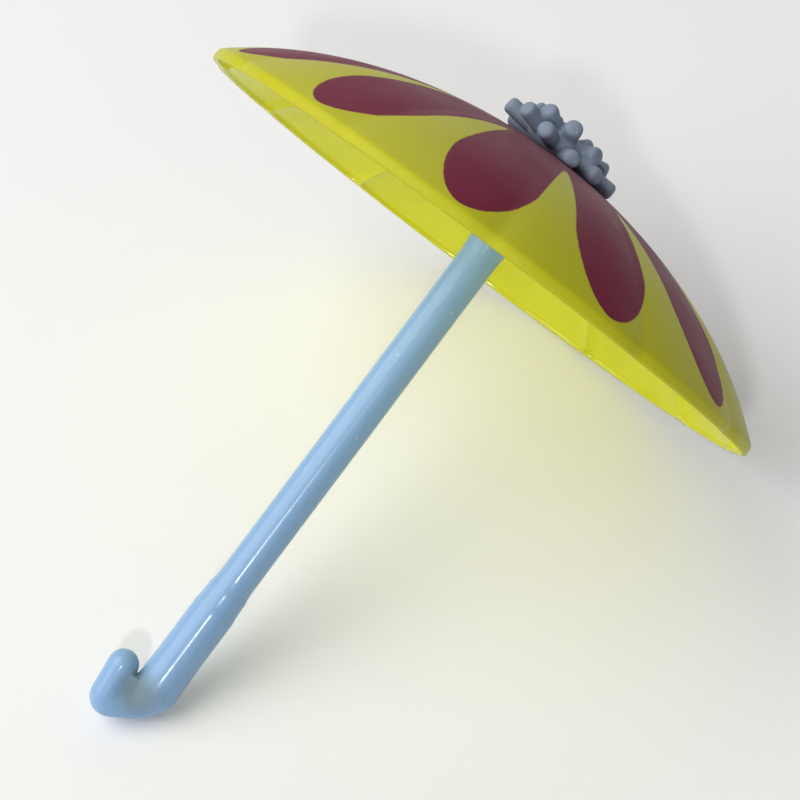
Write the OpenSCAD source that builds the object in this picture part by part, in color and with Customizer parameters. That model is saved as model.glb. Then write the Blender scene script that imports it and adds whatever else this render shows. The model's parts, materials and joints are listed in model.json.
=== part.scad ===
// Doll's parasol lying on a table: a moulded dome canopy that turns on the top of
// a shaft, a flower finial that holds it there, and a hook handle on the lower end.
// All pieces are drawn along the shaft's line, with the rim plane at height 0 and the
// finial upwards. They are then laid down together, so that the rim, the elbow of the
// handle and the hook touch the table at z = 0.

/* [Canopy] */
// Outer diameter of the canopy at its rim
canopy_d = 102; // [80:1:140]
// Rise of the dome from the rim band to the crown
dome_h = 17.8; // [10:0.1:24]
// How far the dome's ellipse would run on past the rim, which sets how full the dome is
dome_overrun = 15.3; // [4:0.1:40]
// Height of the upright band at the rim
rim_band = 1.7; // [0.5:0.05:4]
// Wall thickness of the canopy
canopy_wall = 1.2; // [0.8:0.05:2]
// Outer diameter of the hub under the crown
hub_d = 10.4; // [8:0.1:14]
// Length of the hub, from the crown's outer face to the hub's lower end
hub_len = 9; // [6:0.1:12]

/* [Shaft] */
// Diameter of the shaft
shaft_d = 6.1; // [5:0.05:8]
// Length of the shaft, from the rim plane down to the handle
shaft_len = 63.5; // [40:0.5:100]
// Diameter of the flare's shoulder, which carries the hub
flare_d = 8; // [7:0.05:10]
// Length of the flare below the hub
flare_len = 10.5; // [4:0.5:24]
// Diameter of the spindle that the canopy turns on
spindle_d = 4; // [3:0.05:5]
// Radial running clearance between the spindle and the hub's bore
spindle_clear = 0.05; // [0.02:0.01:0.1]
// End play of the hub, at the shoulder and again at the flower
end_play = 0.15; // [0.05:0.01:0.4]
// Diameter of the spigot that goes into the handle
spigot_d = 4; // [3:0.05:5]
// Length of the spigot
spigot_len = 12; // [6:0.5:16]
// Radial clearance of the two pushed-together sockets
push_clear = 0.02; // [0.01:0.01:0.05]

/* [Handle] */
// Diameter of the ring at the top of the handle
ring_d = 6.9; // [6:0.05:9]
// Length of the ring
ring_len = 3.2; // [1.5:0.1:5]
// Width of the groove under the ring
groove_w = 0.6; // [0.3:0.05:1]
// Depth of the groove under the ring
groove_depth = 0.25; // [0.1:0.05:0.5]
// Diameter of the grip just under the groove
grip_top_d = 7.3; // [6:0.05:9]
// Diameter of the grip at the elbow
grip_d = 7.8; // [6:0.05:9]
// Length of the handle, from its top to the start of the elbow
grip_len = 20.5; // [16:0.1:40]
// Inner radius of the elbow
elbow_bend = 0.4; // [0.3:0.05:6]
// Angle that the elbow turns through
elbow_turn = 33; // [20:1:60]
// Length of the straight run between the elbow and the hook's bend
hook_run = 2.6; // [1:0.1:10]
// Diameter of the hook
hook_d = 4.6; // [4:0.05:7]
// Inner radius of the hook's bend
hook_bend = 0.15; // [0.1:0.05:6]
// Angle that the hook's bend turns through
hook_turn = 147; // [120:1:160]
// Length of the straight leg after the bend
hook_leg = 4.5; // [2:0.1:10]
// Depth of the notch between the leg and the grip, from the hook's tip
notch_depth = 2.7; // [1:0.1:4]
// Thickness of the web that fills the hook below the notch
web_t = 3; // [1:0.1:4]
// Roll of the hook about the shaft, up from lying level
hook_roll = 36; // [0:0.5:45]

/* [Flower] */
// Diameter over the tips of the outer petals
flower_d = 21.2; // [18:0.1:30]
// Thickness of the outer petals
outer_petal_d = 2.9; // [2:0.05:3.8]
// Height of the outer petals' tips above the flower's seat
outer_tip_h = 1.2; // [1.2:0.1:4]
// Angle at which the outer petals rise, or droop below 0
outer_rise = -4; // [-4:1:20]
// Number of outer petals
outer_petals = 10; // [6:1:12]
// Diameter over the tips of the middle petals
middle_tier_d = 15.6; // [12:0.1:20]
// Thickness of the middle petals
middle_petal_d = 3; // [2:0.05:3.8]
// Height of the middle petals' tips above the flower's seat
middle_tip_h = 3.4; // [3:0.1:6]
// Angle at which the middle petals rise
middle_rise = 16; // [10:1:40]
// Number of middle petals
middle_petals = 8; // [5:1:10]
// Diameter over the tips of the inner petals
inner_tier_d = 9; // [7:0.1:12]
// Thickness of the inner petals
inner_petal_d = 2.8; // [2:0.05:3.5]
// Height of the inner petals' tips above the flower's seat
inner_tip_h = 4.7; // [4:0.1:8]
// Angle at which the inner petals rise
inner_rise = 45; // [30:1:60]
// Number of inner petals
inner_petals = 5; // [4:1:7]
// Diameter of the flower's heart at its seat, which the petals grow from
heart_d = 12; // [9:0.1:16]
// Diameter of the heart at its top
heart_top_d = 6.4; // [5:0.1:9]
// Height of the heart
heart_h = 4.7; // [4.5:0.1:8]
// Depth of the socket for the spindle
socket_depth = 3.6; // [2.5:0.1:4.4]

/* [Hidden] */
$fn = 64;

// Dome: an ellipse about the shaft's line, from the crown to the rim band
canopy_r = canopy_d / 2;
ellipse_r = canopy_r + dome_overrun;
ellipse_h = dome_h / (1 - sqrt(1 - pow(canopy_r / ellipse_r, 2)));
ellipse_z = rim_band + dome_h - ellipse_h;
crown_z = rim_band + dome_h;
rim_angle = asin(canopy_r / ellipse_r);
dome_steps = 24;
bore_r = spindle_d / 2 + spindle_clear;
hub_z = crown_z - hub_len;

// Shaft: shoulder under the hub, spindle through it and spigot at the other end
shoulder_z = hub_z - end_play;
flower_z = crown_z + end_play;
spindle_top_z = flower_z + socket_depth;

// Handle: stations from its top to its tip, each [reach from the shaft's line, height,
// direction of the path, radius]
ring_z = -shaft_len - ring_len;
groove_z = ring_z - groove_w;
elbow_z = -shaft_len - grip_len;
grip_top_r = grip_top_d / 2;
groove_r = grip_top_r - groove_depth;
grip_r = grip_d / 2;
hook_r = hook_d / 2;
elbow_r = grip_r + elbow_bend;
bend_r = hook_r + hook_bend;
down = -90;
run_angle = down + elbow_turn;
leg_angle = run_angle + hook_turn;
elbow_end = [0, elbow_z] + elbow_r * [1 - cos(elbow_turn), -sin(elbow_turn)];
bend_start = elbow_end + hook_run * heading(run_angle);
bend_centre = bend_start + bend_r * heading(run_angle + 90);
leg_start = bend_centre + bend_r * heading(leg_angle - 90);
leg_end = leg_start + hook_leg * heading(leg_angle);
elbow_arc = elbow_r * elbow_turn * PI / 180;
taper = (hook_r - grip_r) / (elbow_arc + hook_run);
elbow_steps = 6;
bend_steps = 16;
tip_steps = 6;
sides = 24;
grip_stations = [
    [0, -shaft_len, down, ring_d / 2],
    [0, ring_z, down, ring_d / 2],
    [0, ring_z, down, groove_r],
    [0, groove_z, down, groove_r],
    [0, groove_z, down, grip_top_r]
];
elbow_stations = [for (i = [0:elbow_steps])
    let (turn = elbow_turn * i / elbow_steps, arc = elbow_arc * i / elbow_steps)
        [elbow_r * (1 - cos(turn)), elbow_z - elbow_r * sin(turn), down + turn, grip_r + taper * arc]];
bend_stations = [for (i = [0:bend_steps])
    let (angle = run_angle + hook_turn * i / bend_steps,
        p = bend_centre + bend_r * heading(angle - 90))
        [p[0], p[1], angle, hook_r]];
tip_stations = [for (i = [0:tip_steps - 1])
    let (swing = 90 * i / tip_steps, p = leg_end + hook_r * sin(swing) * heading(leg_angle))
        [p[0], p[1], leg_angle, hook_r * cos(swing)]];
tip_pole = leg_end + hook_r * heading(leg_angle);
notch_z = tip_pole[1] - notch_depth;
handle_stations = concat(grip_stations, elbow_stations, bend_stations, tip_stations);
handle_rings = [for (s = handle_stations) for (j = [0:sides - 1]) on_ring(s, 360 * j / sides)];
handle_points = concat(handle_rings, [in_hook_plane(tip_pole[0], tip_pole[1], 0)]);

// Lie of the whole: the slope of the shaft at which both rim and handle touch the table,
// and the middle of its length
slope = min([for (p = handle_points) atan2(canopy_r - p[0], -p[2])]);
axis_z = canopy_r * cos(slope);
dome_x = ellipse_z * cos(slope) + norm([ellipse_r * sin(slope), ellipse_h * cos(slope)]);
handle_x = min([for (p = handle_points) p[2] * cos(slope) + p[0] * sin(slope)]);
middle_x = (dome_x + handle_x) / 2;

// Unit step along a direction in the hook's plane
function heading(angle) = [cos(angle), sin(angle)];

// Point of the hook's plane, at a distance to its side, in the upright parasol
function in_hook_plane(reach, height, aside) = [
    -reach * sin(hook_roll) - aside * cos(hook_roll),
    reach * cos(hook_roll) - aside * sin(hook_roll),
    height
];

// Point on the ring of the handle at a station
function on_ring(s, around) =
    let (across = s[3] * cos(around) * heading(s[2] + 90))
        in_hook_plane(s[0] + across[0], s[1] + across[1], s[3] * sin(around));

// Point on the dome's outer face, at an angle from the crown, and the one under it
function dome_point(angle) = [ellipse_r * sin(angle), ellipse_z + ellipse_h * cos(angle)];
function dome_normal(angle) =
    let (n = [sin(angle) / ellipse_r, cos(angle) / ellipse_h]) n / norm(n);
function dome_inner(angle) = dome_point(angle) - canopy_wall * dome_normal(angle);
function dome_height(r) = ellipse_z + ellipse_h * sqrt(1 - pow(r / ellipse_r, 2));

// Lays the upright parasol down on the table, centred on the origin
module lay() {
    translate([-middle_x, 0, axis_z])
        rotate([0, 90 - slope, 0])
            children();
}

module canopy() {
    outer = [for (i = [0:dome_steps])
        let (p = dome_point(rim_angle * i / dome_steps)) if (p[0] > bore_r) p];
    inner = [for (i = [dome_steps:-1:0])
        let (p = dome_inner(rim_angle * i / dome_steps))
            if (p[0] > hub_d / 2 && p[0] < canopy_r - canopy_wall) p];
    crown = [[bore_r, dome_height(bore_r)]];
    rim = [[canopy_r, 0], [canopy_r - canopy_wall, 0]];
    hub = [
        [hub_d / 2, dome_height(hub_d / 2) - canopy_wall],
        [hub_d / 2, hub_z],
        [bore_r, hub_z]
    ];
    color("yellow") lay() rotate_extrude() polygon(concat(crown, outer, rim, inner, hub));
}

module shaft() {
    shaft_r = shaft_d / 2;
    color("lightsteelblue") lay() rotate_extrude() polygon([
        [0, -shaft_len - spigot_len],
        [spigot_d / 2, -shaft_len - spigot_len],
        [spigot_d / 2, -shaft_len],
        [shaft_r, -shaft_len],
        [shaft_r, shoulder_z - flare_len],
        [flare_d / 2, shoulder_z],
        [spindle_d / 2, shoulder_z],
        [spindle_d / 2, spindle_top_z],
        [0, spindle_top_z]
    ]);
}

module handle() {
    rings = len(handle_stations);
    last = (rings - 1) * sides;
    pole = rings * sides;
    top = [[for (j = [0:sides - 1]) j]];
    tip = [for (j = [0:sides - 1]) [last + j, last + (j + 1) % sides, pole]];
    side = [for (i = [0:rings - 2]) for (j = [0:sides - 1])
        let (a = i * sides + j, b = i * sides + (j + 1) % sides)
            each [[a, b, b + sides], [a, b + sides, a + sides]]];
    color("cornflowerblue") lay() difference() {
        union() {
            polyhedron(handle_points, concat(top, side, tip));
            hook_web();
        }
        translate([0, 0, -shaft_len - spigot_len])
            cylinder(h = spigot_len + ring_len, r = spigot_d / 2 + push_clear);
    }
}

// Web in the hook's plane, from the elbow to the leg, that closes the hook below its notch
module hook_web() {
    rotate([0, 0, 90 + hook_roll])
        translate([elbow_end[0], -web_t / 2, bend_centre[1]])
            cube([leg_end[0] - elbow_end[0], web_t, notch_z - bend_centre[1]]);
}

// One ring of finger petals, each a rod with a round tip that rises from the heart
module petal_tier(count, tip_d, thick, tip_h, rise, turn) {
    petal_r = thick / 2;
    tip_r = tip_d / 2 - petal_r;
    for (i = [0:count - 1])
        rotate([0, 0, turn + 360 * i / count])
            translate([tip_r, 0, tip_h])
                rotate([0, -90 - rise, 0])
                    petal(petal_r, (tip_r - petal_r) / cos(rise));
}

// Round-tipped finger, turned about its own length
module petal(r, length) {
    rotate_extrude() {
        square([r, length]);
        intersection() {
            circle(r);
            translate([0, -r]) square([r, r]);
        }
    }
}

module flower_finial() {
    color("slategray") lay() translate([0, 0, flower_z]) difference() {
        union() {
            cylinder(h = heart_h, d1 = heart_d, d2 = heart_top_d);
            petal_tier(outer_petals, flower_d, outer_petal_d, outer_tip_h, outer_rise, 0);
            petal_tier(middle_petals, middle_tier_d, middle_petal_d, middle_tip_h, middle_rise,
                180 / middle_petals);
            petal_tier(inner_petals, inner_tier_d, inner_petal_d, inner_tip_h, inner_rise, 0);
        }
        translate([0, 0, -socket_depth])
            cylinder(h = 2 * socket_depth, r = spindle_d / 2 + push_clear);
    }
}

canopy();
shaft();
handle();
flower_finial();
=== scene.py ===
"""A doll's toy parasol: printed canopy, shaft, hook handle and flower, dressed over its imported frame."""

import json
from functools import partial
from math import asin, atan2, cos, hypot, pi, radians, sin, sqrt, tau

import bmesh
import bpy
from bpy.props import FloatProperty, FloatVectorProperty, IntProperty, PointerProperty
from mathutils import Matrix, Vector


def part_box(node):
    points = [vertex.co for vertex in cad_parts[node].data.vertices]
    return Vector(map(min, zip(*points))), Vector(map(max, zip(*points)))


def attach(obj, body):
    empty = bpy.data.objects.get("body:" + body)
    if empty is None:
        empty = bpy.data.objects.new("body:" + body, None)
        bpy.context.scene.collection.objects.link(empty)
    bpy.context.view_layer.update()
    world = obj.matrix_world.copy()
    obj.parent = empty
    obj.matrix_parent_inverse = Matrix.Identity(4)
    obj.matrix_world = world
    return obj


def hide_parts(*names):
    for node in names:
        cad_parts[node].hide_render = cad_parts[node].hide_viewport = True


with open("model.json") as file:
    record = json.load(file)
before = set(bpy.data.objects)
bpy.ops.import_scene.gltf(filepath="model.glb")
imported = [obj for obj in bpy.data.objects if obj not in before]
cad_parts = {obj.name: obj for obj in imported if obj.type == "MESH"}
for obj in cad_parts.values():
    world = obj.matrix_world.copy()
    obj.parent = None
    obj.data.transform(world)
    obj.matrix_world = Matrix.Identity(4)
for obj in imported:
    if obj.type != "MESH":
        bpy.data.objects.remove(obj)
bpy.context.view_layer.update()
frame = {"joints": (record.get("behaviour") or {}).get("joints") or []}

bl_info = {
    "name": "Toy Parasol",
    "version": (1, 0, 0),
    "blender": (4, 5, 0),
    "location": "View3D > Sidebar > Parasol",
    "description": "Models a doll's toy parasol and its finishes over its packed frame",
    "category": "Object",
}

# Values from the frame: the line that the canopy turns about, and the rim's radius and middle
TWIRL = frame["joints"][0]
LINE = Vector(TWIRL["axis"]).normalized()
LINE_POINT = Vector(TWIRL["pos_m"])
CANOPY_LOW, CANOPY_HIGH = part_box("canopy")
RIM_RADIUS = (CANOPY_HIGH.y - CANOPY_LOW.y) / 2
RIM_CENTRE = LINE_POINT + LINE * ((RIM_RADIUS * LINE.x - LINE_POINT.z) / LINE.z)
LEAN = atan2(LINE.x, LINE.z)

# Distance under which two points of a mesh are one, the angle up to which its faces shade as one, and sides
WELD = 2e-6
SMOOTH_ANGLE = radians(32)
TURNED_SIDES = 64
HANDLE_SIDES = 48
FINGER_SIDES = 20

# Lamps: name, place seen from the parasol, width in metres and watts
LAMPS = (
    ("window", Vector((-0.435, 0.474, 0.766)), 1.0, 9.0),
    ("back", Vector((0.85, 0.5, 0.4)), 0.8, 1.8),
    ("lamp", Vector((-0.603, -0.391, 0.705)), 0.06, 2.0),
)

# The world's light: the side where it is brightest, its swing from side to side and its middle level
SKY_SIDE = Vector((-0.45, 0.35, 0.8))
SKY_SWING = 0.2
SKY_LEVEL = 0.16

# Plastics: shares of clouding and dust specks, height of the grain in metres, refraction and gloss
CANOPY_PLASTIC = {"cloud": 0.16, "specks": 0.0, "grain": 0.000012, "ior": 1.45}
HARD_PLASTIC = {"roughness": 0.2, "cloud": 0.14, "specks": 0.35, "grain": 0.00001, "ior": 1.5, "gloss": 0.36}
SOFT_PLASTIC = {"roughness": 0.55, "cloud": 0.3, "specks": 0.3, "grain": 0.00003, "ior": 1.5, "gloss": 0.36}

# The canopy's two sides: share of ink that shows and softness of its edge in metres; roughness that ink adds
PRINTED_SIDE = {"ink_share": 1.0, "soft_edge": 0.00022, "roughness": 0.42, "gloss": 0.2}
INNER_SIDE = {"ink_share": 0.04, "soft_edge": 0.0009, "roughness": 0.18, "gloss": 0.5}
INK_ROUGHNESS = 0.06

# Painted shade in the hook's crook, where the leg shades the web: its share and roughness at the middle, and
# the part of its reach that is even
CROOK_SHADE_SHARE = 0.75
CROOK_SHADE_ROUGHNESS = 0.6
CROOK_SHADE_EVEN = 0.3

# How sharply a gore falls to its crease, the ridge inside rises to it, and the shaft flares to its shoulder
CREASE_POWER = 4
RIDGE_POWER = 20
FLARE_POWER = 1.3

# Angle of the first finger of each tier of the flower, in radians
FIRST_TURNS = {"outer": 2.06, "middle": 0.4, "inner": 0.9}

# A finger of the flower: root and cap as shares of its radius, bluntness, and its swelling and even parts
ROOT_SHARE = 0.75
CAP_SHARE = 0.7
CAP_POWER = 0.7
ROOT_PART = 0.7
TIP_PART = 0.3

# How uneven the fingers are in length, place and nod: the swing, and the beat from one to the next
MEAN_LENGTH = 0.97
LENGTH_SWING, LENGTH_BEAT = 0.03, 2.3
TURN_SWING, TURN_BEAT = 0.1, 3.1
NOD_SWING, NOD_BEAT, NOD_SHIFT = 0.07, 1.7, 3.0

# Sockets of the petal print that take a size of the petals
PETAL_SIZES = ("Turn", "Widest", "End", "Width", "Taper", "Merge")


# Properties

def length(description, default):
    """A size in metres that a user can change."""
    return FloatProperty(description=description, default=default, min=0.0, precision=5, unit="LENGTH")


def turn(description, degrees):
    """An angle that a user can change, given in degrees."""
    return FloatProperty(description=description, default=radians(degrees), precision=4, unit="ROTATION")


def share(description, default):
    """A plain number from 0 to 1 that a user can change."""
    return FloatProperty(description=description, default=default, min=0.0, max=1.0, subtype="FACTOR")


def count(description, default):
    """A number of copies or steps that a user can change."""
    return IntProperty(description=description, default=default, min=3)


def linear(value):
    """The linear value of one 8-bit screen value."""
    value = value / 255
    return value / 12.92 if value <= 0.04045 else ((value + 0.055) / 1.055) ** 2.4


def colour(description, red, green, blue):
    """A colour that a user can change, given as 8-bit screen values."""
    default = (linear(red), linear(green), linear(blue))
    return FloatVectorProperty(
        description=description, default=default, min=0.0, max=1.0, size=3, subtype="COLOR"
    )


def labelled(group):
    """Label each property of a group with its own name in plain words."""
    for name, setting in group.__annotations__.items():
        setting.keywords["name"] = name.replace("_", " ").capitalize()
    return group


@labelled
class PARASOL_PG_canopy(bpy.types.PropertyGroup):
    """Sizes of the moulded dome and its printed petals"""

    rim_radius: length("Radius of the dome at its rim", RIM_RADIUS)
    dome_rise: length("Height of the crown over the rim band", 0.0178)
    overrun: length("How far the dome's ellipse would run past the rim", 0.0153)
    rim_band: length("Height of the upright band at the rim", 0.0017)
    wall: length("Thickness of the dome", 0.0012)
    rim_round: length("Rounding of the rim's lower edges", 0.0005)
    band_round: length("Rounding between the dome and the rim band", 0.0005)
    hub_radius: length("Outer radius of the hub under the crown", 0.0052)
    hub_length: length("Length of the hub down from the crown", 0.009)
    bore_radius: length("Radius of the bore that the spindle runs in", 0.00205)
    gores: count("Number of pillowed fields round the dome", 12)
    gore_steps: count("Faces across one gore", 24)
    gore_depth: share("How far a crease is drawn in, as a share of its radius", 0.015)
    gore_ridge: share("Height of the ridge inside a crease, as a share of its radius", 0.02)
    gore_turn: turn("Angle of one crease round the line of the shaft", 23.4)
    petals: count("Number of printed petals", 12)
    petal_turn: turn("Angle of one petal round the line of the shaft", 15.6)
    petal_widest: length("Radius at which the petals are widest", 0.038)
    petal_end: length("Radius of the petals' round ends", 0.0498)
    petal_width: length("Half of a petal's greatest width", 0.007)
    petal_taper: share("How much narrower the petals get towards the crown", 0.58)
    petal_merge: length("Rounding where two petals run together", 0.00045)
    print_shift: length("How far the print sits off the crown", 0.0006)
    print_side: turn("Angle of the side that the print is shifted to", 210)


@labelled
class PARASOL_PG_shaft(bpy.types.PropertyGroup):
    """Sizes of the shaft"""

    radius: length("Radius of the shaft", 0.00305)
    length: length("Length of the shaft below the rim", 0.0635)
    flare_radius: length("Radius at the shoulder under the hub", 0.004)
    flare_length: length("Length over which the shaft flares", 0.0105)
    shoulder_height: length("Height of the shoulder over the rim", 0.01035)
    spindle_radius: length("Radius of the spindle in the hub and the flower", 0.002)
    spindle_height: length("Height of the spindle's end over the rim", 0.02325)
    spigot_radius: length("Radius of the spigot in the handle", 0.002)
    spigot_length: length("Length of the spigot in the handle", 0.012)


@labelled
class PARASOL_PG_handle(bpy.types.PropertyGroup):
    """Sizes of the hook handle"""

    lip: length("How far the handle's thin top edge runs up the shaft", 0.002)
    lip_radius: length("Radius where the lip meets the ring", 0.00312)
    fit: length("How far the lip's edge sinks into the shaft", 0.00002)
    ring_radius: length("Radius of the soft ring at the handle's top", 0.00334)
    ring_length: length("Length of the ring", 0.0022)
    step_length: length("Length of the soft step from the ring to the grip", 0.0026)
    step_radius: length("Radius half way down the step", 0.0034)
    grip_top_radius: length("Radius of the grip under the step", 0.00356)
    grip_radius: length("Radius of the grip at the elbow", 0.00375)
    swelling: length("Length over which the grip swells towards the elbow", 0.0055)
    grip_length: length("Length of the handle's straight part", 0.0205)
    elbow_radius: length("Radius of the elbow's bend", 0.0043)
    elbow_turn: turn("Angle of the elbow", 33)
    run: length("Length of the straight run after the elbow", 0.0006)
    hook_tube: length("Radius of the hook's tube", 0.00248)
    heel_tube: length("Radius of the hook's tube at the foot of its leg", 0.0025)
    hook_radius: length("Radius of the hook's bend before its sole", 0.002)
    hook_turn: turn("Angle of the hook's bend before its sole", 28)
    sole: length("Length of the hook's flat sole", 0.0034)
    heel_radius: length("Radius of the bend from the sole up to the leg", 0.0009)
    heel_turn: turn("Angle of the bend from the sole up to the leg", 114)
    leg: length("Length of the hook's leg up to its round end", 0.0054)
    notch: length("Depth of the notch between the leg and the grip, from the leg's end", 0.0027)
    web: length("Thickness of the web that closes the hook below the notch", 0.0042)
    roll: turn("Angle of the hook's plane round the line of the shaft", 36)
    # How far the painted shade reaches in the hook's crook
    grime_reach: length("How far the grime reaches in the hook's crook", 0.005)


@labelled
class PARASOL_PG_flower(bpy.types.PropertyGroup):
    """Sizes of the flower and its three tiers of finger petals"""

    seat_height: length("Height of the flower's underside over the rim", 0.01965)
    heart_radius: length("Radius of the body in the flower's middle", 0.0062)
    heart_height: length("Height of the body in the flower's middle", 0.0036)
    lean: turn("Angle by which the flower leans to one side", 7)
    lean_turn: turn("Angle of the higher side round the line of the shaft", 113.5)
    outer_count: count("Number of fingers in the outer tier", 11)
    outer_reach: length("Radius at the outer fingers' ends", 0.0109)
    outer_thick: length("Thickness of the outer fingers", 0.0028)
    outer_rise: turn("Slope of the outer fingers", 0)
    middle_count: count("Number of fingers in the middle tier", 8)
    middle_reach: length("Radius at the middle fingers' ends", 0.0078)
    middle_thick: length("Thickness of the middle fingers", 0.003)
    middle_rise: turn("Slope of the middle fingers", 21)
    inner_count: count("Number of fingers in the inner tier", 5)
    inner_reach: length("Radius at the inner fingers' ends", 0.0042)
    inner_thick: length("Thickness of the inner fingers", 0.0028)
    inner_rise: turn("Slope of the inner fingers", 40)


@labelled
class PARASOL_PG_finish(bpy.types.PropertyGroup):
    """Colours of the mouldings and the print, with the painted shade in the hook's crook and the painted
    glow inside the canopy
    """

    yellow: colour("Canopy's plastic on its printed side", 190, 188, 34)
    # Brighter than the printed side: painted glow that stands for light coming through the shell
    inside_yellow: colour("Canopy's plastic on its unprinted side", 220, 220, 36)
    maroon: colour("Ink of the printed petals", 116, 24, 54)
    shaft_blue: colour("Plastic of the shaft", 140, 177, 217)
    handle_blue: colour("Plastic of the handle", 140, 177, 217)
    flower_grey: colour("Soft plastic of the flower", 133, 146, 164)
    # Colour of the painted shade in the hook's crook, darker where the leg shades the web
    grime: colour("Grime in the hook's crook", 112, 130, 128)
    dust: colour("Dust and scuffs on the plastic", 214, 212, 204)
    floor: colour("The plain floor", 242, 242, 242)


@labelled
class PARASOL_PG_view(bpy.types.PropertyGroup):
    """Where the camera stands"""

    azimuth: turn("Camera's angle round the upright", -47.5464)
    elevation: turn("Camera's angle over the floor", 54.8237)
    roll: turn("Camera's angle round its own line of sight", 0.6545)
    distance: length("Camera's distance from its target", 0.335998)
    target: FloatVectorProperty(
        description="Point that the camera looks at", default=(0.005768, -0.00367, 0.032588),
        size=3, precision=5, subtype="TRANSLATION", unit="LENGTH",
    )
    lens: FloatProperty(
        description="Focal length in millimetres", default=97.76, min=1.0, unit="CAMERA"
    )


# Mesh helpers

def deselect():
    """Leave edit mode and select nothing, so that an operator acts only on what comes next."""
    if bpy.context.mode != "OBJECT":
        bpy.ops.object.mode_set(mode="OBJECT")
    bpy.ops.object.select_all(action="DESELECT")


def pick(piece):
    """Select one piece alone and make it active."""
    deselect()
    piece.select_set(True)
    bpy.context.view_layer.objects.active = piece


def modify(piece, label, kind, **settings):
    """Give a piece a modifier with its settings, and apply it."""
    pick(piece)
    modifier = piece.modifiers.new(label, kind)
    for name, value in settings.items():
        setattr(modifier, name, value)
    bpy.ops.object.modifier_apply(modifier=modifier.name)


def name_piece(name):
    """Name the new primitive, put its place in its mesh and open it in edit mode."""
    piece = bpy.context.object
    piece.name = name
    piece.data.name = name
    bpy.ops.object.transform_apply()
    bpy.ops.object.mode_set(mode="EDIT")
    bpy.ops.mesh.select_mode(type="VERT")
    bpy.ops.mesh.select_all(action="SELECT")
    return piece


def start_point(name, point):
    """Open a new mesh of one vertex: a small plane merged at its middle."""
    deselect()
    bpy.ops.mesh.primitive_plane_add(size=0.001, location=(point[0], 0.0, point[1]))
    piece = name_piece(name)
    bpy.ops.mesh.merge(type="CENTER")
    return piece


def start_ring(name, sides, radius, height):
    """Open a new mesh of one flat round face, the end of a tube."""
    deselect()
    bpy.ops.mesh.primitive_circle_add(
        vertices=sides, radius=radius, fill_type="NGON", location=(0.0, 0.0, height)
    )
    return name_piece(name)


def trace(points):
    """Extrude the selected vertex along a profile of (radius, height) points."""
    for before, after in zip(points, points[1:]):
        step = (after[0] - before[0], 0.0, after[1] - before[1])
        bpy.ops.mesh.extrude_vertices_move(TRANSFORM_OT_translate={"value": step})


def spin_round(steps):
    """Turn the profile about the upright line, close it and point its faces outwards."""
    bpy.ops.mesh.select_all(action="SELECT")
    bpy.ops.mesh.spin(steps=steps, angle=tau, center=(0.0, 0.0, 0.0), axis=(0.0, 0.0, 1.0))
    close_mesh()


def close_mesh():
    """Merge the doubles of the mesh in edit mode and point its faces outwards."""
    bpy.ops.mesh.select_all(action="SELECT")
    bpy.ops.mesh.remove_doubles(threshold=WELD)
    bpy.ops.mesh.normals_make_consistent(inside=False)


def choose(piece, kind, test):
    """Select the vertices or faces of a piece in edit mode that pass a test."""
    bpy.ops.mesh.select_all(action="DESELECT")
    bpy.ops.mesh.select_mode(type=kind)
    mesh = bmesh.from_edit_mesh(piece.data)
    for part in mesh.verts if kind == "VERT" else mesh.faces:
        part.select_set(test(part))
    mesh.select_flush_mode()
    bmesh.update_edit_mesh(piece.data)


def radius_of(point):
    """Distance of a point from the upright line."""
    return hypot(point.x, point.y)


def grow_tube(step, ratio, middle):
    """Extrude the selected end of a tube by a step and resize it about its new middle."""
    bpy.ops.mesh.extrude_region_move(TRANSFORM_OT_translate={"value": step})
    bpy.ops.transform.resize(value=(ratio, ratio, ratio), center_override=middle)


def melt(piece, grain, passes):
    """Melt the parts of a piece into one soft moulding with Remesh and Smooth modifiers."""
    modify(piece, "Melted together", "REMESH", mode="VOXEL", voxel_size=grain)
    modify(piece, "Softened", "SMOOTH", factor=0.5, iterations=passes)


def soften_below(piece, height, fade, passes):
    """Smooth the part of a piece below a height, ever more over a fade."""
    pick(piece)
    bpy.ops.object.mode_set(mode="EDIT")
    label = "Softened end"
    piece.vertex_groups.new(name=label)
    bands = 8
    for band in range(1, bands + 1):
        limit = height - fade * band / bands
        choose(piece, "VERT", lambda vertex: vertex.co.z < limit)
        bpy.context.scene.tool_settings.vertex_group_weight = band / bands
        bpy.ops.object.vertex_group_assign()
    modify(piece, label, "SMOOTH", factor=0.5, iterations=passes, vertex_group=label)
    piece.vertex_groups.remove(piece.vertex_groups[label])


def laid(point):
    """A place of the upright parasol where it is as the parasol lies."""
    return RIM_CENTRE + Matrix.Rotation(LEAN, 3, "Y") @ point


def lay_down(piece, upright_turn=0.0):
    """Turn a piece about the upright line, then lay it as the parasol lies, in its mesh."""
    pick(piece)
    piece.rotation_euler = (0.0, 0.0, upright_turn)
    bpy.ops.object.transform_apply()
    piece.rotation_euler = (0.0, LEAN, 0.0)
    piece.location = RIM_CENTRE
    bpy.ops.object.transform_apply()
    bpy.ops.object.shade_smooth_by_angle(angle=SMOOTH_ANGLE)


# Node helpers

def link_or_set(tree, socket, value):
    """Join a socket to another node's output, or set it to a plain value."""
    if isinstance(value, bpy.types.NodeSocket):
        tree.links.new(value, socket)
    else:
        socket.default_value = value


def calculate(tree, operation, *values):
    """The output of a Math node."""
    node = tree.nodes.new("ShaderNodeMath")
    node.operation = operation
    for socket, value in zip(node.inputs, values):
        link_or_set(tree, socket, value)
    return node.outputs["Value"]


def ramp(tree, value, low, high, start=0.0, end=1.0):
    """The output of a Map Range node that goes smoothly from start to end between low and high."""
    node = tree.nodes.new("ShaderNodeMapRange")
    node.interpolation_type = "SMOOTHSTEP"
    names = ("Value", "From Min", "From Max", "To Min", "To Max")
    for name, setting in zip(names, (value, low, high, start, end)):
        link_or_set(tree, node.inputs[name], setting)
    return node.outputs["Result"]


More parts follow.
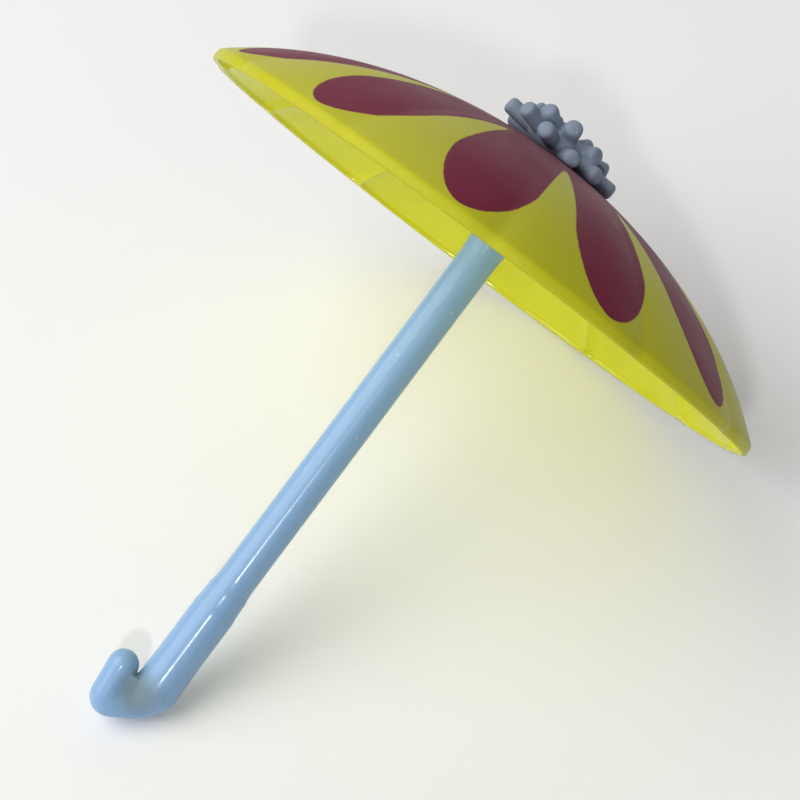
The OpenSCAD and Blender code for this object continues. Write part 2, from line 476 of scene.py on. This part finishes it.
def blend_colour(tree, factor, first, second, mode="MIX"):
    """The colour output of a Mix node."""
    node = tree.nodes.new("ShaderNodeMix")
    node.data_type = "RGBA"
    node.blend_type = mode
    link_or_set(tree, node.inputs["Factor"], factor)
    link_or_set(tree, node.inputs["A"], first)
    link_or_set(tree, node.inputs["B"], second)
    return [socket for socket in node.outputs if socket.type == "RGBA"][0]


def noise(tree, place, scale, detail=2.0):
    """The value of a Noise texture, its scale in grains to the metre."""
    node = tree.nodes.new("ShaderNodeTexNoise")
    tree.links.new(place, node.inputs["Vector"])
    node.inputs["Scale"].default_value = scale
    node.inputs["Detail"].default_value = detail
    return node.outputs["Fac"]


def solid_colour(values):
    """A node's colour from a property's three values."""
    return (*values, 1.0)


def new_group(name, inputs, outputs):
    """A shader node group with named sockets of each kind, and its given and wanted sockets."""
    group = bpy.data.node_groups.new(name, "ShaderNodeTree")
    for side, kinds in (("INPUT", inputs), ("OUTPUT", outputs)):
        for kind, labels in kinds.items():
            for label in labels:
                group.interface.new_socket(label, in_out=side, socket_type="NodeSocket" + kind)
    return group, group.nodes.new("NodeGroupInput").outputs, group.nodes.new("NodeGroupOutput").inputs


def use_group(tree, group, **settings):
    """Place a node group in a material and give it its values."""
    node = tree.nodes.new("ShaderNodeGroup")
    node.node_tree = group
    for label, value in settings.items():
        link_or_set(tree, node.inputs[label], value)
    return node.outputs


# Effects that the materials share

def moulded_plastic_group():
    """Clouding, fine grain and dust specks of moulded plastic, over a base colour."""
    name = "Moulded plastic"
    if name in bpy.data.node_groups:
        return bpy.data.node_groups[name]
    group, given, result = new_group(
        name,
        {"Vector": ("Place",), "Color": ("Colour", "Dust"), "Float": ("Cloud", "Specks", "Roughness")},
        {"Color": ("Colour",), "Float": ("Roughness", "Height")},
    )
    do = partial(calculate, group)
    place = given["Place"]
    broad_scale, fine_scale, cell_scale = 90.0, 1700.0, 420.0
    smallest_dot, dot_swing, empty_cells = 0.03, 0.07, 0.72
    least_smear, most_smear, dot_roughness, dot_height = -0.03, 0.06, 0.3, 0.6
    broad = noise(group, place, broad_scale, 3.0)
    fine = noise(group, place, fine_scale, 2.0)
    mottle = do("MULTIPLY_ADD", fine, 0.5, do("MULTIPLY", broad, 0.5))
    swing = do("MULTIPLY", do("SUBTRACT", mottle, 0.5), given["Cloud"])
    level = do("ADD", swing, 1.0)
    level_colour = group.nodes.new("ShaderNodeCombineColor")
    for channel in level_colour.inputs:
        group.links.new(level, channel)
    clouded = blend_colour(group, 1.0, given["Colour"], level_colour.outputs["Color"], "MULTIPLY")
    cells = group.nodes.new("ShaderNodeTexVoronoi")
    cells.inputs["Scale"].default_value = cell_scale
    group.links.new(place, cells.inputs["Vector"])
    picked = group.nodes.new("ShaderNodeSeparateColor")
    group.links.new(cells.outputs["Color"], picked.inputs["Color"])
    chosen = do("GREATER_THAN", picked.outputs["Red"], empty_cells)
    size = do("MULTIPLY_ADD", picked.outputs["Green"], dot_swing, smallest_dot)
    dot = do("LESS_THAN", cells.outputs["Distance"], size)
    speck = do("MULTIPLY", do("MULTIPLY", chosen, dot), given["Specks"])
    group.links.new(blend_colour(group, speck, clouded, given["Dust"]), result["Colour"])
    smear = ramp(group, broad, 0.35, 0.7, least_smear, most_smear)
    rough = do("MULTIPLY_ADD", speck, dot_roughness, do("ADD", given["Roughness"], smear))
    group.links.new(rough, result["Roughness"])
    group.links.new(do("MULTIPLY_ADD", speck, dot_height, fine), result["Height"])
    return group


def petal_print_group():
    """The mask of petals that run together at the crown, from a place in the upright parasol."""
    name = "Petal print"
    if name in bpy.data.node_groups:
        return bpy.data.node_groups[name]
    group, given, result = new_group(
        name,
        {"Vector": ("Place",), "Float": ("Petals", *PETAL_SIZES, "Edge")},
        {"Float": ("Mask",)},
    )
    ragged_scale = 1500.0
    do = partial(calculate, group)
    split = group.nodes.new("ShaderNodeSeparateXYZ")
    group.links.new(given["Place"], split.inputs["Vector"])
    across, along = split.outputs["Y"], split.outputs["X"]
    reach = do("SQRT", do("ADD", do("MULTIPLY", along, along), do("MULTIPLY", across, across)))
    angle = do("SUBTRACT", do("ARCTAN2", across, along), given["Turn"])
    half_field = do("DIVIDE", pi, given["Petals"])
    field_low = do("MULTIPLY", half_field, -1.0)
    angle = do("WRAP", angle, half_field, field_low)
    angle = do("ABSOLUTE", angle)
    aside = do("MULTIPLY", reach, do("SINE", angle))
    outward = do("MULTIPLY", reach, do("COSINE", angle))
    past = do("SUBTRACT", outward, given["Widest"])
    to_end = do("DIVIDE", past, do("SUBTRACT", given["End"], given["Widest"]))
    to_end = do("MINIMUM", do("MAXIMUM", to_end, 0.0), 1.0)
    round_off = do("SQRT", do("SUBTRACT", 1.0, do("MULTIPLY", to_end, to_end)))
    to_crown = do("MINIMUM", do("DIVIDE", past, given["Widest"]), 0.0)
    narrow = do("MULTIPLY_ADD", to_crown, given["Taper"], 1.0)
    shape = do("MULTIPLY", round_off, narrow)
    limit = do("MULTIPLY", shape, given["Width"])
    apart = do("MULTIPLY", reach, do("SINE", do("SUBTRACT", half_field, angle)))
    merge_squared = do("MULTIPLY", given["Merge"], given["Merge"])
    merged = do("SQRT", do("MULTIPLY_ADD", apart, apart, merge_squared))
    joined = do("SUBTRACT", merged, apart)
    ragged = do("SUBTRACT", noise(group, given["Place"], ragged_scale), 0.5)
    margin = do("ADD", do("SUBTRACT", limit, aside), joined)
    margin = do("MULTIPLY_ADD", ragged, given["Edge"], margin)
    mask = do("DIVIDE", margin, given["Edge"])
    mask = do("SUBTRACT", mask, 0.5)
    mask = do("MINIMUM", do("MAXIMUM", mask, 0.0), 1.0)
    group.links.new(mask, result["Mask"])
    return group


# Materials

def new_material(name):
    """A material with one Principled shader, its tree and its Object coordinates."""
    material = bpy.data.materials.new(name)
    material.use_nodes = True
    tree = material.node_tree
    shader = tree.nodes["Principled BSDF"]
    place = tree.nodes.new("ShaderNodeTexCoord").outputs["Object"]
    return material, tree, shader, place


def join_bump(tree, shader, height, distance):
    """Feed a height to the shader's normal through a Bump node, its distance in metres."""
    bump = tree.nodes.new("ShaderNodeBump")
    bump.inputs["Distance"].default_value = distance
    bump.inputs["Strength"].default_value = 1.0
    tree.links.new(height, bump.inputs["Height"])
    tree.links.new(bump.outputs["Normal"], shader.inputs["Normal"])


def mould(tree, shader, place, dyed, finish, roughness, cloud, specks, grain, ior, gloss):
    """Feed a shader with the colour, roughness and relief of dyed moulded plastic."""
    plastic = use_group(
        tree,
        moulded_plastic_group(),
        Place=place,
        Colour=dyed,
        Dust=solid_colour(finish.dust),
        Cloud=cloud,
        Specks=specks,
        Roughness=roughness,
    )
    tree.links.new(plastic["Colour"], shader.inputs["Base Color"])
    tree.links.new(plastic["Roughness"], shader.inputs["Roughness"])
    shader.inputs["IOR"].default_value = ior
    shader.inputs["Specular IOR Level"].default_value = gloss
    join_bump(tree, shader, plastic["Height"], grain)


def print_place(tree, place, sizes):
    """Coordinates of the print on the upright parasol, with the print's middle as origin."""
    aside = Vector((cos(sizes.print_side), sin(sizes.print_side), 0.0)) * sizes.print_shift
    mapping = tree.nodes.new("ShaderNodeMapping")
    mapping.vector_type = "TEXTURE"
    mapping.inputs["Location"].default_value = laid(aside)
    mapping.inputs["Rotation"].default_value = (0.0, LEAN, 0.0)
    tree.links.new(place, mapping.inputs["Vector"])
    return mapping.outputs["Vector"]


def canopy_material(name, sizes, finish, base, ink_share, soft_edge, roughness, gloss):
    """Yellow plastic with the petals printed on it, or showing faintly through it."""
    material, tree, shader, place = new_material(name)
    petals = use_group(
        tree,
        petal_print_group(),
        Place=print_place(tree, place, sizes),
        Petals=float(sizes.petals),
        Edge=soft_edge,
        **{label: getattr(sizes, "petal_" + label.lower()) for label in PETAL_SIZES},
    )
    ink = calculate(tree, "MULTIPLY", petals["Mask"], ink_share)
    dyed = blend_colour(tree, ink, solid_colour(base), solid_colour(finish.maroon))
    rough = calculate(tree, "MULTIPLY_ADD", ink, INK_ROUGHNESS, roughness)
    mould(tree, shader, place, dyed, finish, rough, gloss=gloss, **CANOPY_PLASTIC)
    return material


def paint_crook_shade(tree, place, base, grime, roughness, middle, reach):
    """A base colour that turns darker round a place, most at its middle, as painted shade in the crook, and
    a roughness that turns duller there.
    """
    distance = tree.nodes.new("ShaderNodeVectorMath")
    distance.operation = "DISTANCE"
    distance.inputs[1].default_value = middle
    tree.links.new(place, distance.inputs[0])
    even = reach * CROOK_SHADE_EVEN
    share_of_shade = ramp(tree, distance.outputs["Value"], even, reach, CROOK_SHADE_SHARE, 0.0)
    dulled = ramp(tree, distance.outputs["Value"], even, reach, CROOK_SHADE_ROUGHNESS, roughness)
    return blend_colour(tree, share_of_shade, solid_colour(base), solid_colour(grime)), dulled


def plastic_material(name, base, finish, roughness, crook=None, reach=0.0, **surface):
    """Moulded plastic in one colour, with clouding, dust and a fine grain, and painted shade in its crook.
    """
    material, tree, shader, place = new_material(name)
    dyed = solid_colour(base)
    if crook is not None:
        dyed, roughness = paint_crook_shade(tree, place, base, finish.grime, roughness, crook, reach)
    mould(tree, shader, place, dyed, finish, roughness, **surface)
    return material


# Stage

def add_lamp(name, place, target, size, watts):
    """A square area lamp that looks at a target."""
    bpy.ops.object.light_add(type="AREA")
    lamp = bpy.context.object
    lamp.name = name
    lamp.data.name = name
    lamp.data.shape = "SQUARE"
    lamp.data.size = size
    lamp.data.energy = watts
    lamp.location = place
    lamp.rotation_euler = (target - place).to_track_quat("-Z", "Y").to_euler()


def floor_material(finish):
    """The plain pale floor."""
    material = bpy.data.materials.new("Floor")
    material.use_nodes = True
    shader = material.node_tree.nodes["Principled BSDF"]
    shader.inputs["Base Color"].default_value = solid_colour(finish.floor)
    shader.inputs["Roughness"].default_value = 0.7
    return material


def light_world(world):
    """Soft light all round, stronger from the sky's side, with a white background for the camera."""
    world.use_nodes = True
    tree = world.node_tree
    tree.nodes.clear()
    facing = tree.nodes.new("ShaderNodeVectorMath")
    facing.operation = "DOT_PRODUCT"
    facing.inputs[1].default_value = SKY_SIDE.normalized()
    tree.links.new(tree.nodes.new("ShaderNodeTexCoord").outputs["Generated"], facing.inputs[0])
    soft = calculate(tree, "MULTIPLY_ADD", facing.outputs["Value"], SKY_SWING, SKY_LEVEL)
    seen = tree.nodes.new("ShaderNodeLightPath").outputs["Is Camera Ray"]
    background = tree.nodes.new("ShaderNodeBackground")
    background.inputs["Color"].default_value = (1.0, 1.0, 1.0, 1.0)
    tree.links.new(calculate(tree, "MAXIMUM", soft, seen), background.inputs["Strength"])
    output = tree.nodes.new("ShaderNodeOutputWorld")
    tree.links.new(background.outputs["Background"], output.inputs["Surface"])


class PARASOL_OT_stage(bpy.types.Operator):
    """Set up the floor, the lamps, the world and the camera"""

    bl_idname = "parasol.stage"
    bl_label = "Stage"

    def execute(self, context):
        scene = context.scene
        view = scene.parasol_view
        scene.view_settings.view_transform = "Standard"
        if scene.world is None:
            scene.world = bpy.data.worlds.new("Studio")
        light_world(scene.world)
        deselect()
        bpy.ops.mesh.primitive_plane_add(size=4.0)
        floor = context.object
        floor.name = "floor"
        floor.data.materials.append(floor_material(scene.parasol_finish))
        middle = Vector(view.target)
        for name, side, size, watts in LAMPS:
            add_lamp(name, middle + side, middle, size, watts)
        deselect()
        bpy.ops.object.camera_add()
        camera = context.object
        camera.name = "photo_view"
        around, over = view.azimuth, view.elevation
        back = Vector((sin(around) * cos(over), -cos(around) * cos(over), sin(over)))
        camera.location = middle + back * view.distance
        tilt = Matrix.Rotation(pi / 2 - over, 3, "X") @ Matrix.Rotation(view.roll, 3, "Z")
        camera.rotation_euler = (Matrix.Rotation(around, 3, "Z") @ tilt).to_euler()
        camera.data.lens = view.lens
        camera.data.sensor_width = 36.0
        camera.data.clip_start = 0.01
        scene.camera = camera
        return {"FINISHED"}


# Canopy

def dome_ellipse(sizes):
    """Half width, half height and middle height of the ellipse that the dome follows."""
    half_width = sizes.rim_radius + sizes.overrun
    half_height = sizes.dome_rise / (1 - sqrt(1 - (sizes.rim_radius / half_width) ** 2))
    return half_width, half_height, sizes.rim_band + sizes.dome_rise - half_height


def dome_arc(sizes, inset, start_radius, steps):
    """Points of the dome from a radius out to the rim, inset from its outer face."""
    half_width, half_height, middle = dome_ellipse(sizes)
    start = asin(start_radius / half_width)
    end = asin(sizes.rim_radius / half_width)
    points = []
    for step in range(steps + 1):
        angle = start + (end - start) * step / steps
        slope = Vector((half_height * sin(angle), half_width * cos(angle))).normalized()
        points.append((
            half_width * sin(angle) - inset * slope.x,
            middle + half_height * cos(angle) - inset * slope.y,
        ))
    return points


def round_corner(before, corner, after, size, steps):
    """Points of a soft curve in place of a corner of a profile."""
    corner = Vector(corner)
    first = corner + (Vector(before) - corner).normalized() * size
    last = corner + (Vector(after) - corner).normalized() * size
    parts = [step / steps for step in range(steps + 1)]
    return [first.lerp(corner, part).lerp(corner.lerp(last, part), part)[:] for part in parts]


def canopy_profile(sizes):
    """The dome's wall, the rim band, the hub and the bore, as one closed line."""
    outside = dome_arc(sizes, 0.0, sizes.bore_radius, 28)
    inside = dome_arc(sizes, sizes.wall, sizes.hub_radius, 26)
    hub_end = sizes.rim_band + sizes.dome_rise - sizes.hub_length
    foot, inner_foot = (sizes.rim_radius, 0.0), (inside[-1][0], 0.0)
    hub_foot, bore_foot = (sizes.hub_radius, hub_end), (sizes.bore_radius, hub_end)
    line = outside[:-1]
    line += round_corner(outside[-2], outside[-1], foot, sizes.band_round, 5)
    line += round_corner(outside[-1], foot, inner_foot, sizes.rim_round, 4)
    line += round_corner(foot, inner_foot, inside[-1], sizes.rim_round, 4)
    line += round_corner(inner_foot, inside[-1], inside[-2], sizes.rim_round, 4)
    line += inside[-2:0:-1]
    line += round_corner(inside[1], inside[0], hub_foot, sizes.band_round, 4)
    line += round_corner(inside[0], hub_foot, bore_foot, sizes.rim_round, 3)
    line.append(bore_foot)
    line.append(outside[0])
    return line


def is_inner(place, sizes):
    """True for a place nearer to the dome's inside than to its outside and its rim band."""
    half_width, half_height, middle = dome_ellipse(sizes)
    reach = radius_of(place)
    outer_height = middle + half_height * sqrt(max(0.0, 1 - (reach / half_width) ** 2))
    past_middle = 0.6 * sizes.wall
    return place.z < outer_height - past_middle and reach < sizes.rim_radius - past_middle


def press_gores(piece, sizes):
    """Draw the dome in towards the creases, and raise a ridge along each crease inside."""
    step_angle = tau / (sizes.gores * sizes.gore_steps)
    keep_round = sizes.hub_radius * 1.5

    def in_file(vertex, file, inner):
        index = round(atan2(vertex.co.y, vertex.co.x) / step_angle) % sizes.gore_steps
        reach = radius_of(vertex.co)
        return index == file and reach > keep_round and inner == is_inner(vertex.co, sizes)

    for file in range(sizes.gore_steps):
        from_middle = abs(2 * file / sizes.gore_steps - 1)
        ratio = 1 - sizes.gore_depth * from_middle ** CREASE_POWER
        for inner, ridge in ((True, sizes.gore_ridge * from_middle ** RIDGE_POWER), (False, 0.0)):
            choose(piece, "VERT", lambda vertex: in_file(vertex, file, inner))
            drawn = (ratio - ridge, ratio - ridge, 1.0)
            bpy.ops.transform.resize(value=drawn, center_override=(0.0, 0.0, 0.0))


def on_inside(face, sizes):
    """True for a face of the dome's inside, its rim's underside or its hub."""
    place = face.calc_center_median()
    middle = dome_ellipse(sizes)[2]
    crown_under = sizes.rim_band + sizes.dome_rise - sizes.wall
    if radius_of(place) < sizes.hub_radius * 1.05 and place.z < crown_under:
        return True
    return face.normal.dot(place - Vector((0.0, 0.0, middle))) < 0


class PARASOL_OT_canopy(bpy.types.Operator):
    """Spin the dome with its hub, press in its gores and print its petals"""

    bl_idname = "parasol.canopy"
    bl_label = "Canopy"

    def execute(self, context):
        sizes = context.scene.parasol_canopy
        finish = context.scene.parasol_finish
        line = canopy_profile(sizes)
        piece = start_point("canopy_shell", line[0])
        trace(line)
        spin_round(sizes.gores * sizes.gore_steps)
        press_gores(piece, sizes)
        # The inside takes the lighter yellow, painted glow for light through the shell
        for name, base, surface in (
            ("Printed canopy", finish.yellow, PRINTED_SIDE),
            ("Canopy inside", finish.inside_yellow, INNER_SIDE),
        ):
            piece.data.materials.append(canopy_material(name, sizes, finish, base, **surface))
        choose(piece, "FACE", lambda face: on_inside(face, sizes))
        piece.active_material_index = 1
        bpy.ops.object.material_slot_assign()
        lay_down(piece, sizes.gore_turn)
        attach(piece, "canopy")
        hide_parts("canopy")
        return {"FINISHED"}


# Shaft

def shaft_profile(sizes):
    """The spigot, the shaft with its flare, the shoulder and the spindle."""
    spigot_end = -sizes.length - sizes.spigot_length
    line = [(0.0, spigot_end), (sizes.spigot_radius, spigot_end), (sizes.spigot_radius, -sizes.length)]
    flare_start = sizes.shoulder_height - sizes.flare_length
    plain_steps = 60
    for step in range(plain_steps):
        line.append((sizes.radius, -sizes.length + (flare_start + sizes.length) * step / plain_steps))
    flare_steps = 10
    for step in range(flare_steps + 1):
        part = step / flare_steps
        line.append((
            sizes.radius + (sizes.flare_radius - sizes.radius) * part ** FLARE_POWER,
            flare_start + sizes.flare_length * part,
        ))
    for height in (sizes.shoulder_height, sizes.spindle_height):
        line.append((sizes.spindle_radius, height))
    line.append((0.0, sizes.spindle_height))
    return line


class PARASOL_OT_shaft(bpy.types.Operator):
    """Spin the shaft with its flare, shoulder, spindle and spigot"""

    bl_idname = "parasol.shaft"
    bl_label = "Shaft"

    def execute(self, context):
        sizes = context.scene.parasol_shaft
        finish = context.scene.parasol_finish
        line = shaft_profile(sizes)
        piece = start_point("shaft_moulding", line[0])
        trace(line)
        spin_round(TURNED_SIDES)
        sharp = {"limit_method": "ANGLE", "angle_limit": radians(30)}
        modify(piece, "Rounded edges", "BEVEL", width=0.00012, segments=2, **sharp)
        piece.data.materials.append(
            plastic_material("Shaft plastic", finish.shaft_blue, finish, **HARD_PLASTIC)
        )
        lay_down(piece)
        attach(piece, "stick")
        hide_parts("shaft")
        return {"FINISHED"}


# Handle

def bend_tube(middle, angle, steps, start_radius, end_radius):
    """Spin the selected end of a tube about a point of its plane, tapering it step by step."""
    radius = start_radius
    for step in range(1, steps + 1):
        bpy.ops.mesh.spin(steps=1, angle=angle / steps, center=middle, axis=(0.0, 1.0, 0.0))
        wanted = start_radius + (end_radius - start_radius) * step / steps
        ratio = wanted / radius
        bpy.ops.transform.resize(value=(ratio, ratio, ratio), center_override=selected_middle())
        radius = wanted


def selected_middle():
    """Middle of the selected vertices of the mesh in edit mode."""
    mesh = bmesh.from_edit_mesh(bpy.context.edit_object.data)
    places = [vertex.co for vertex in mesh.verts if vertex.select]
    return sum(places, Vector()) / len(places)


def run_tube(heading, distance, steps, start_radius, end_radius):
    """Extrude the selected end of a tube straight on, tapering it evenly."""
    radius = start_radius
    for step in range(1, steps + 1):
        wanted = start_radius + (end_radius - start_radius) * step / steps
        move = heading * (distance / steps)
        grow_tube(move, wanted / radius, selected_middle() + move)
        radius = wanted


def onward(turned):
    """Heading of a tube that started downwards, after it has turned by an angle."""
    return Vector((sin(turned), 0.0, -cos(turned)))


def inward(turned):
    """Direction to the inner side of a tube that started downwards, after it has turned by an angle."""
    return Vector((cos(turned), 0.0, sin(turned)))


def round_end(heading, depth, steps, power=1.0):
    """Close the selected end of a tube with a cap: round at power 1, and flatter below it."""
    for step in range(1, steps):
        before, after = (pi / 2 * part / steps for part in (step - 1, step))
        move = heading * (depth * (sin(after) ** power - sin(before) ** power))
        grow_tube(move, (cos(after) / cos(before)) ** power, selected_middle() + move)
    last = heading * (depth * (1 - sin(pi / 2 * (steps - 1) / steps) ** power))
    bpy.ops.mesh.extrude_region_move(TRANSFORM_OT_translate={"value": last})
    bpy.ops.mesh.merge(type="CENTER")


def join_block(piece, low, high):
    """Join a block between two corners to a piece."""
    low, high = Vector(low), Vector(high)
    deselect()
    bpy.ops.mesh.primitive_cube_add(size=1.0, location=(low + high) / 2, scale=high - low)
    piece.select_set(True)
    bpy.context.view_layer.objects.active = piece
    bpy.ops.object.join()


class PARASOL_OT_handle(bpy.types.Operator):
    """Extrude the ring, the step and the grip, and bend the elbow and the hook"""

    bl_idname = "parasol.handle"
    bl_label = "Handle"

    def execute(self, context):
        sizes = context.scene.parasol_handle
        finish = context.scene.parasol_finish
        shaft = context.scene.parasol_shaft
        down = Vector((0.0, 0.0, -1.0))
        radius = shaft.radius - sizes.fit
        piece = start_ring("handle_moulding", HANDLE_SIDES, radius, sizes.lip - shaft.length)
        straight = sizes.grip_length - sizes.ring_length - sizes.step_length - sizes.swelling
        for distance, steps, next_radius in (
            (sizes.lip, 4, sizes.lip_radius),
            (sizes.ring_length / 2, 3, sizes.ring_radius),
            (sizes.ring_length / 2, 3, sizes.ring_radius),
            (sizes.step_length / 2, 2, sizes.step_radius),
            (sizes.step_length / 2, 2, sizes.grip_top_radius),
            (straight, 5, sizes.grip_top_radius),
            (sizes.swelling, 6, sizes.grip_radius),
        ):
            run_tube(down, distance, steps, radius, next_radius)
            radius = next_radius
        elbow_path = sizes.elbow_radius * sizes.elbow_turn
        taper = (sizes.grip_radius - sizes.hook_tube) / (elbow_path + sizes.run)
        after_elbow = sizes.grip_radius - taper * elbow_path
        elbow_start = selected_middle()
        elbow_middle = elbow_start + Vector((sizes.elbow_radius, 0.0, 0.0))
        bend_tube(elbow_middle, sizes.elbow_turn, 8, sizes.grip_radius, after_elbow)
        elbow_end = selected_middle()
        run_tube(onward(sizes.elbow_turn), sizes.run, 4, after_elbow, sizes.hook_tube)
        hook_middle = selected_middle() + inward(sizes.elbow_turn) * sizes.hook_radius
        bend_tube(hook_middle, sizes.hook_turn, 10, sizes.hook_tube, sizes.hook_tube)
        turned = sizes.elbow_turn + sizes.hook_turn
        run_tube(onward(turned), sizes.sole, 4, sizes.hook_tube, sizes.heel_tube)
        heel_middle = selected_middle() + inward(turned) * sizes.heel_radius
        bend_tube(heel_middle, sizes.heel_turn, 12, sizes.heel_tube, sizes.heel_tube)
        heading = onward(turned + sizes.heel_turn)
        run_tube(heading, sizes.leg, 6, sizes.heel_tube, sizes.hook_tube)
        leg_end = selected_middle()
        round_end(heading, sizes.hook_tube, 7)
        close_mesh()
        notch_height = leg_end.z + sizes.hook_tube - sizes.notch
        low = (elbow_end.x, -sizes.web / 2, hook_middle.z - sizes.hook_radius / 2)
        high = (leg_end.x, sizes.web / 2, notch_height)
        join_block(piece, low, high)
        melt(piece, grain=0.00014, passes=40)
        soften_below(piece, elbow_start.z, sizes.hook_tube, passes=260)
        hook_side = pi / 2 + sizes.roll
        # Middle of the painted shade in the hook's crook, on the web below the notch where the leg shades it
        crook = elbow_end.lerp(leg_end, 0.25)
        crook.y = sizes.web / 2
        crook.z = elbow_end.z + sizes.notch / 2
        crook_shading = {"crook": laid(Matrix.Rotation(hook_side, 3, "Z") @ crook), "reach": sizes.grime_reach}
        piece.data.materials.append(
            plastic_material("Handle plastic", finish.handle_blue, finish, **HARD_PLASTIC, **crook_shading)
        )
        lay_down(piece, hook_side)
        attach(piece, "stick")
        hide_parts("handle")
        return {"FINISHED"}


# Flower

def finger_petal(name, reach, thick, rise, height):
    """One finger petal from the flower's middle out to its reach, blunt and a little swollen."""
    radius = thick / 2
    piece = start_ring(name, FINGER_SIDES, radius * ROOT_SHARE, 0.0)
    up = Vector((0.0, 0.0, 1.0))
    cap = radius * CAP_SHARE
    straight = reach / cos(rise) - cap
    run_tube(up, straight * ROOT_PART, 4, radius * ROOT_SHARE, radius)
    run_tube(up, straight * TIP_PART, 3, radius, radius)
    round_end(up, cap, 6, CAP_POWER)
    close_mesh()
    pick(piece)
    piece.rotation_euler = (0.0, pi / 2 - rise, 0.0)
    piece.location = (0.0, 0.0, height)
    bpy.ops.object.transform_apply()
    return piece


def flower_heart(sizes):
    """A flat round body in the flower's middle that the fingers grow from."""
    deselect()
    middle = (0.0, 0.0, sizes.seat_height + sizes.heart_height / 2)
    bpy.ops.mesh.primitive_uv_sphere_add(segments=32, ring_count=16, radius=1.0, location=middle)
    heart = bpy.context.object
    sunk = 0.0006
    heart.scale = (sizes.heart_radius, sizes.heart_radius, sizes.heart_height / 2 + sunk)
    bpy.ops.object.transform_apply()
    return heart


def rest_on_dome(piece, canopy, seat_height):
    """Cut a flower's underside to the dome that it sits on, with a hair of air between."""
    gap = seat_height - canopy.rim_band - canopy.dome_rise
    line = [point for point in dome_arc(canopy, -gap, 0.0, 60) if point[0] < 0.3 * canopy.rim_radius]
    line[0] = (0.0, line[0][1])
    floor = line[-1][1] - canopy.dome_rise / 2
    line.append((line[-1][0], floor))
    line.append((0.0, floor))
    cutter = start_point("dome_cutter", line[0])
    trace(line)
    spin_round(TURNED_SIDES)
    modify(piece, "Resting on the dome", "BOOLEAN", operation="DIFFERENCE", solver="EXACT", object=cutter)
    bpy.data.meshes.remove(cutter.data)


def ring_of_fingers(finger, number, first_turn, sizes):
    """Copy a finger round the upright line, each copy a little longer, shorter, higher or lower."""
    copies = []
    for index in range(number):
        pick(finger)
        bpy.ops.object.duplicate()
        copy = bpy.context.object
        stretch = MEAN_LENGTH + LENGTH_SWING * sin(LENGTH_BEAT * index + first_turn)
        around = first_turn + tau * (index + TURN_SWING * sin(TURN_BEAT * index)) / number
        uneven = NOD_SWING * sin(NOD_BEAT * index + NOD_SHIFT * first_turn)
        nod = sizes.lean * cos(around - sizes.lean_turn) + uneven
        base = Vector((0.0, 0.0, sizes.seat_height + sizes.heart_height / 2))
        place = Matrix.Rotation(around, 4, "Z") @ Matrix.Translation(base)
        place = place @ Matrix.Rotation(-nod, 4, "Y") @ Matrix.Diagonal((stretch, 1.0, 1.0, 1.0))
        copy.matrix_world = place @ Matrix.Translation(-base)
        bpy.ops.object.transform_apply()
        copies.append(copy)
    bpy.data.meshes.remove(finger.data)
    return copies


class PARASOL_OT_flower(bpy.types.Operator):
    """Copy finger petals into three tiers and melt them into one soft moulding"""

    bl_idname = "parasol.flower"
    bl_label = "Flower"

    def execute(self, context):
        sizes = context.scene.parasol_flower
        finish = context.scene.parasol_finish
        parts = [flower_heart(sizes)]
        for tier, first_turn in FIRST_TURNS.items():
            kinds = ("count", "reach", "thick", "rise")
            number, reach, thick, rise = (getattr(sizes, f"{tier}_{kind}") for kind in kinds)
            finger = finger_petal(tier, reach, thick, rise, sizes.seat_height + thick / 2)
            parts.extend(ring_of_fingers(finger, number, first_turn, sizes))
        deselect()
        for part in parts:
            part.select_set(True)
        context.view_layer.objects.active = parts[0]
        bpy.ops.object.join()
        piece = context.object
        piece.name = "flower_moulding"
        piece.data.name = "flower_moulding"
        melt(piece, grain=0.00018, passes=4)
        rest_on_dome(piece, context.scene.parasol_canopy, sizes.seat_height)
        piece.data.materials.append(
            plastic_material("Flower plastic", finish.flower_grey, finish, **SOFT_PLASTIC)
        )
        lay_down(piece)
        bpy.ops.object.shade_smooth()
        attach(piece, "stick")
        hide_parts("flower_finial")
        return {"FINISHED"}


class PARASOL_PT_tools(bpy.types.Panel):
    """Sizes, finishes and operators of the toy parasol"""

    bl_idname = "PARASOL_PT_tools"
    bl_label = "Toy Parasol"
    bl_space_type = "VIEW_3D"
    bl_region_type = "UI"
    bl_category = "Parasol"

    def draw(self, context):
        for operator in OPERATORS:
            self.layout.operator(operator.bl_idname)
        for holder in HOLDERS:
            box = self.layout.box()
            settings = getattr(context.scene, holder)
            for name in settings.__annotations__:
                box.prop(settings, name)


# Registration

HOLDERS = {
    "parasol_canopy": PARASOL_PG_canopy,
    "parasol_shaft": PARASOL_PG_shaft,
    "parasol_handle": PARASOL_PG_handle,
    "parasol_flower": PARASOL_PG_flower,
    "parasol_finish": PARASOL_PG_finish,
    "parasol_view": PARASOL_PG_view,
}
OPERATORS = (
    PARASOL_OT_stage,
    PARASOL_OT_canopy,
    PARASOL_OT_shaft,
    PARASOL_OT_handle,
    PARASOL_OT_flower,
)
CLASSES = (*HOLDERS.values(), *OPERATORS, PARASOL_PT_tools)


def register():
    """Register the classes and hang the properties on the scene."""
    for item in CLASSES:
        bpy.utils.register_class(item)
    for holder, group in HOLDERS.items():
        setattr(bpy.types.Scene, holder, PointerProperty(type=group))


def unregister():
    """Take the properties and the classes away again."""
    for holder in HOLDERS:
        delattr(bpy.types.Scene, holder)
    for item in reversed(CLASSES):
        bpy.utils.unregister_class(item)


def main():
    register()
    bpy.ops.parasol.stage()
    bpy.ops.parasol.canopy()
    bpy.ops.parasol.shaft()
    bpy.ops.parasol.handle()
    bpy.ops.parasol.flower()


if __name__ == "__main__":
    main()
